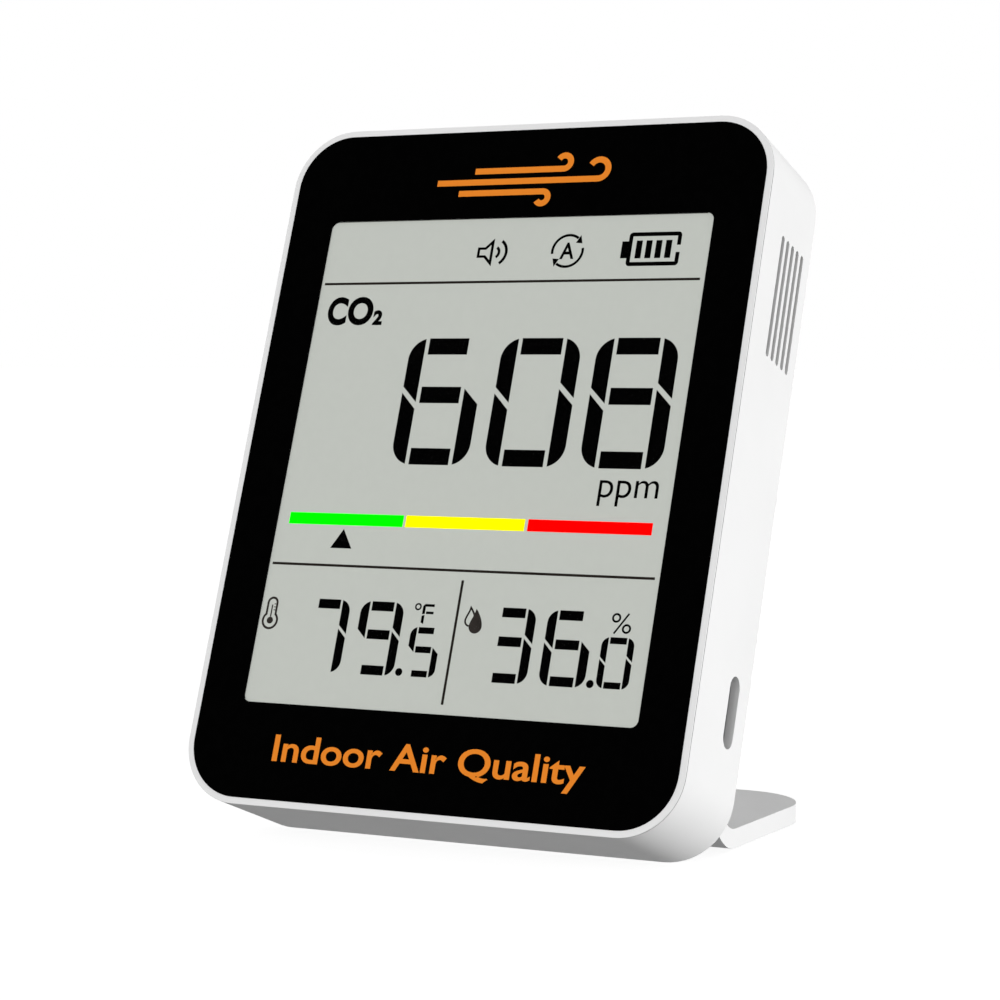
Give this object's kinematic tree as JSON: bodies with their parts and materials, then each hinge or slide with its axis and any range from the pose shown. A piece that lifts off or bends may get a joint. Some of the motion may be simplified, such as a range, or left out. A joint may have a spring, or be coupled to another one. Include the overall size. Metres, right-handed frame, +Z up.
{
  "type": "air quality monitor",
  "caption": "Desk air quality monitor: LCD in a black front panel, white case leaning back on a fold-out J-shaped stand.",
  "frame": {"origin": "middle of the footprint box, on the surface that the stand and the case's rear bottom edge rest on", "axes": "+Z up, +X to the right seen from the front, and the display faces -Y, leaning back 20 degrees"},
  "size_m": [0.079, 0.0644, 0.1045],
  "materials": {
    "case_white": "fine matte moulded plastic",
    "clear_window": "clear gloss",
    "black_mask": "printed black panel",
    "black_tape": "matte",
    "lcd_face": "pale grey-green display face",
    "lcd_glass": "clear",
    "clear_plastic": "clear acrylic",
    "white_film": "matte white film",
    "black_plastic": "moulded",
    "grey_rubber": "matte",
    "board_green": "solder mask",
    "chip_black": "moulded epoxy",
    "component_tan": "ceramic",
    "sensor_gold": "gold-plated case",
    "white_membrane": "woven filter",
    "pin_gold": "gold-plated",
    "bright_steel": "nickel-plated",
    "switch_steel": "stamped steel",
    "battery_wrap": "satin foil pouch",
    "lead_red": "wire insulation",
    "lead_black": "wire insulation",
    "connector_white": "nylon",
    "screw_steel": "zinc-plated",
    "button_white": "fine matte moulded plastic"
  },
  "bodies": {
    "case": {"front_case": "case_white", "front_panel": "black_mask", "display_window": "clear_window", "panel_adhesive": "black_tape", "lcd_polariser": "lcd_face", "lcd_glass": "lcd_glass", "lcd_light_guide": "clear_plastic", "lcd_reflector": "white_film", "lcd_frame": "black_plastic", "lcd_zebra_strip": "grey_rubber", "main_pcb": "board_green", "mcu_chip": "chip_black", "power_chips": "chip_black", "small_components": "component_tan", "co2_sensor": "sensor_gold", "co2_sensor_membrane": "white_membrane", "co2_sensor_pins": "pin_gold", "temp_humidity_sensor": "chip_black", "buzzer": "black_plastic", "usb_shell": "bright_steel", "usb_tongue": "black_plastic", "tact_switches": "switch_steel", "battery_cell": "battery_wrap", "battery_pad": "grey_rubber", "battery_lead_red": "lead_red", "battery_lead_black": "lead_black", "battery_plug": "connector_white", "battery_socket": "connector_white", "rear_cover": "case_white", "housing_screws": "screw_steel", "pcb_screws": "screw_steel", "hinge_pins": "bright_steel"},
    "stand": {"stand": "case_white"},
    "power_button": {"button_power": "button_white", "switch_stem_power": "black_plastic"},
    "mode_button": {"button_mode": "button_white", "switch_stem_mode": "black_plastic"},
    "sound_button": {"button_sound": "button_white", "switch_stem_sound": "black_plastic"}
  },
  "joints": [
    {"name": "stand_hinge", "type": "hinge", "parent": "case", "child": "stand", "pos_m": [0, -0.00898, 0.0061], "axis": [1, 0, 0], "range_deg": [0, 70]},
    {"name": "power_press", "type": "slide", "parent": "case", "child": "power_button", "axis": [0, -0.342, -0.9397], "range_m": [0, 0.0004], "stiffness_N_per_m": 500},
    {"name": "mode_press", "type": "slide", "parent": "case", "child": "mode_button", "axis": [0, -0.342, -0.9397], "range_m": [0, 0.0004], "stiffness_N_per_m": 500},
    {"name": "sound_press", "type": "slide", "parent": "case", "child": "sound_button", "axis": [0, -0.342, -0.9397], "range_m": [0, 0.0004], "stiffness_N_per_m": 500}
  ]
}
